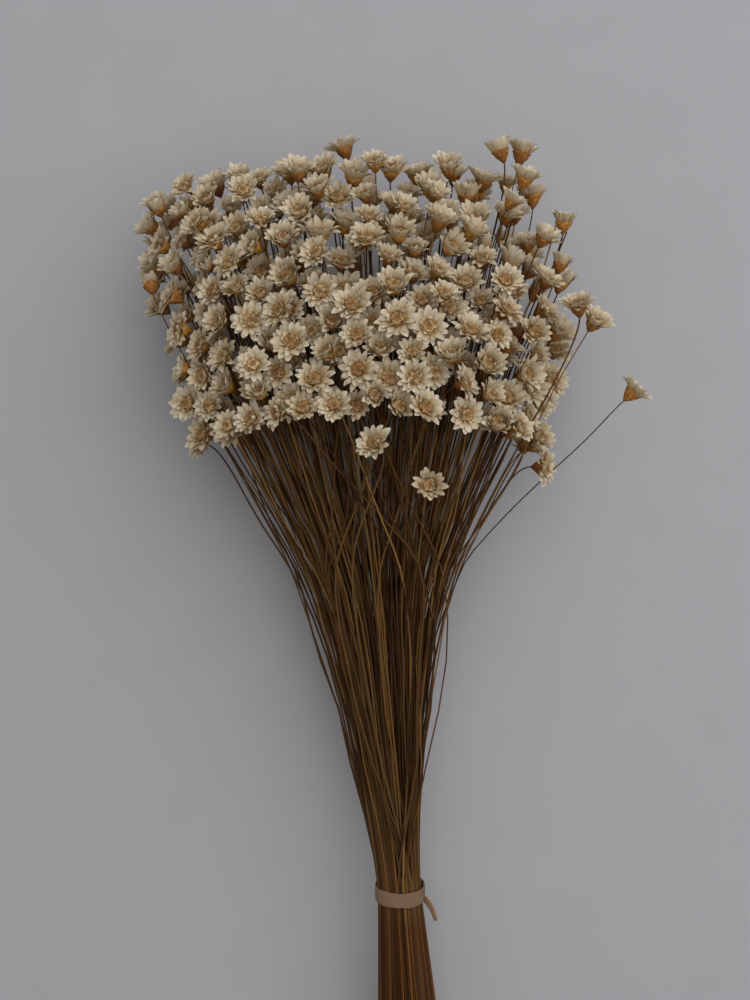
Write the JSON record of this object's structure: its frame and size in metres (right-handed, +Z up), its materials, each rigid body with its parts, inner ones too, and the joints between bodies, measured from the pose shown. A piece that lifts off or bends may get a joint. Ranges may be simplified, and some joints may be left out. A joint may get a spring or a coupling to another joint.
{
  "type": "tied bunch of dried star flowers",
  "caption": "Tied bunch of preserved glixia lying on its side: wire-thin dry stems under a broad head of small papery star blooms.",
  "frame": {"origin": "on the surface that the bunch lies on, under the middle of its box", "axes": "+Y along the bunch from the cut ends to the blooms, +X across it, +Z up"},
  "size_m": [0.1728, 0.3786, 0.0762],
  "materials": {
    "bract": "dry papery cream petals, matt with a faint sheen",
    "cup": "dry golden-brown scales under the bloom",
    "floret": "dry tan florets, rough",
    "stem": "dry wiry stem, satin",
    "band": "flat elastic, matt"
  },
  "bodies": {
    "root": {"spray_01": "bract", "spray_02": "bract", "spray_03": "bract", "spray_04": "bract", "spray_05": "bract", "spray_06": "bract", "spray_07": "bract", "spray_08": "bract", "spray_09": "bract", "spray_10": "bract", "spray_11": "bract", "spray_12": "bract", "spray_13": "bract", "spray_14": "bract", "spray_15": "bract", "spray_16": "bract", "tie_band": "band"}
  },
  "joints": []
}
